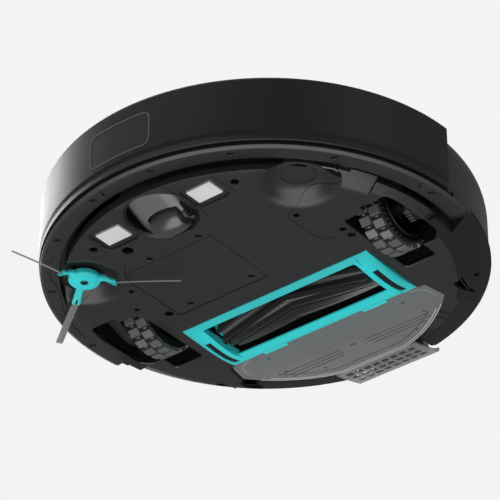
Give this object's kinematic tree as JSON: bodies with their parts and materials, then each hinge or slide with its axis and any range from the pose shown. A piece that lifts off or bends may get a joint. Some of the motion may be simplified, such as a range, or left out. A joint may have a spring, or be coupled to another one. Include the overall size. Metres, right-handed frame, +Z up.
{
  "type": "robot vacuum",
  "caption": "Low round robot vacuum with sprung bumper, suspended drive wheels, swivel caster, side brush, chevron roller, pull-out dust bin and scanner turret.",
  "frame": {"origin": "on the floor under the middle of the round body, at the middle of its outline", "axes": "+Z up, -Y to the front where the bumper is, +X to the robot's left"},
  "size_m": [0.349, 0.349, 0.096],
  "materials": {
    "body": "fine matt moulded black",
    "bumper": "satin moulded black",
    "window": "dark sensor window",
    "gloss": "polished dark cover",
    "accent": "turquoise moulding",
    "inner": "dark inner moulding",
    "grey": "mid grey moulding",
    "vane": "dark rubber vanes",
    "tyre": "grey block tread",
    "bristle": "grey bristle tufts",
    "clear": "smoky clear plastic",
    "contact": "bright contact plate",
    "steel": "plain steel",
    "board": "green circuit board",
    "cell": "blue shrink sleeve",
    "filter": "pleated filter paper"
  },
  "bodies": {
    "robot_body": {"chassis_base": "body", "upper_shell": "body", "top_cover": "gloss", "battery_hatch": "body", "contact_left": "contact", "contact_right": "contact", "battery_pack": "cell", "main_board": "board", "speaker": "inner", "wheel_housing_left": "inner", "wheel_housing_right": "inner", "suspension_spring_left": "steel", "suspension_spring_right": "steel", "caster_socket": "inner", "side_brush_motor": "inner", "brush_housing": "inner", "brush_motor": "steel", "bin_bay": "inner", "lidar_base": "inner", "lidar_cap": "gloss"},
    "bumper": {"bumper_shell": "bumper", "bumper_ring": "body", "bumper_window": "window"},
    "arm_left": {"drive_arm_left": "grey", "drive_motor_left": "steel"},
    "arm_right": {"drive_arm_right": "grey", "drive_motor_right": "steel"},
    "wheel_left": {"tyre_left": "tyre", "wheel_rim_left": "inner"},
    "wheel_right": {"tyre_right": "tyre", "wheel_rim_right": "inner"},
    "caster_swivel": {"caster_fork": "grey"},
    "caster_roll": {"caster_wheel": "grey", "caster_axle": "steel"},
    "side_brush": {"side_brush_hub": "accent", "side_bristles_a": "bristle", "side_bristles_b": "bristle", "side_bristles_c": "bristle", "side_brush_screw": "steel"},
    "main_roller": {"roller_core": "vane", "roller_cap_left": "accent", "roller_cap_right": "accent"},
    "guard": {"brush_guard": "accent"},
    "dust_bin": {"bin_tray": "clear", "bin_lid": "inner", "bin_filter": "filter", "blower_case": "inner", "bin_rear_panel": "body", "exhaust_grille": "clear"},
    "bin_button": {"bin_release_button": "inner"},
    "blower": {"blower_wheel": "grey"},
    "scanner": {"lidar_head": "inner"},
    "power_key": {"power_button": "gloss"},
    "home_key": {"home_button": "gloss"}
  },
  "joints": [
    {"name": "bumper_press", "type": "slide", "parent": "robot_body", "child": "bumper", "axis": [0, 1, 0], "range_m": [0, 0.0025], "stiffness_N_per_m": 600, "springref_m": -0.004},
    {"name": "suspension_left", "type": "hinge", "parent": "robot_body", "child": "arm_left", "pos_m": [0.1394, -0.0335, 0.038], "axis": [-1, 0, 0], "range_deg": [0, 20], "stiffness_Nm_per_rad": 0.6, "springref_deg": 20.05, "deforming": ["suspension_spring_left"]},
    {"name": "wheel_spin_left", "type": "hinge", "parent": "arm_left", "child": "wheel_left", "pos_m": [0.114, 0.0045, 0.034], "axis": [1, 0, 0], "continuous": true},
    {"name": "suspension_right", "type": "hinge", "parent": "robot_body", "child": "arm_right", "pos_m": [-0.1394, -0.0335, 0.038], "axis": [-1, 0, 0], "range_deg": [0, 20], "stiffness_Nm_per_rad": 0.6, "springref_deg": 20.05, "deforming": ["suspension_spring_right"]},
    {"name": "wheel_spin_right", "type": "hinge", "parent": "arm_right", "child": "wheel_right", "pos_m": [-0.114, 0.0045, 0.034], "axis": [1, 0, 0], "continuous": true},
    {"name": "caster_turn", "type": "hinge", "parent": "robot_body", "child": "caster_swivel", "pos_m": [0, -0.124, 0.02], "axis": [0, 0, 1], "continuous": true},
    {"name": "caster_wheel_spin", "type": "hinge", "parent": "caster_swivel", "child": "caster_roll", "pos_m": [0, -0.1128, 0.013], "axis": [1, 0, 0], "continuous": true},
    {"name": "side_brush_spin", "type": "hinge", "parent": "robot_body", "child": "side_brush", "pos_m": [-0.10315, -0.09287, 0.009], "axis": [0, 0, 1], "continuous": true},
    {"name": "roller_spin", "type": "hinge", "parent": "robot_body", "child": "main_roller", "pos_m": [0, 0.037, 0.0265], "axis": [1, 0, 0], "continuous": true},
    {"name": "guard_release", "type": "slide", "parent": "robot_body", "child": "guard", "axis": [0, 0, -1], "range_m": [0, 0.03]},
    {"name": "bin_pull", "type": "slide", "parent": "robot_body", "child": "dust_bin", "axis": [0, 1, 0], "range_m": [0, 0.13]},
    {"name": "bin_release_press", "type": "slide", "parent": "dust_bin", "child": "bin_button", "axis": [0, -1, 0], "range_m": [0, 0.002], "stiffness_N_per_m": 250, "springref_m": -0.002},
    {"name": "blower_spin", "type": "hinge", "parent": "dust_bin", "child": "blower", "pos_m": [0, 0.151, 0.04], "axis": [0, 1, 0], "continuous": true},
    {"name": "scanner_spin", "type": "hinge", "parent": "robot_body", "child": "scanner", "pos_m": [0, 0.03, 0.08], "axis": [0, 0, 1], "continuous": true},
    {"name": "power_press", "type": "slide", "parent": "robot_body", "child": "power_key", "axis": [0, 0, -1], "range_m": [0, 0.001], "stiffness_N_per_m": 400, "springref_m": -0.002},
    {"name": "home_press", "type": "slide", "parent": "robot_body", "child": "home_key", "axis": [0, 0, -1], "range_m": [0, 0.001], "stiffness_N_per_m": 400, "springref_m": -0.002}
  ]
}
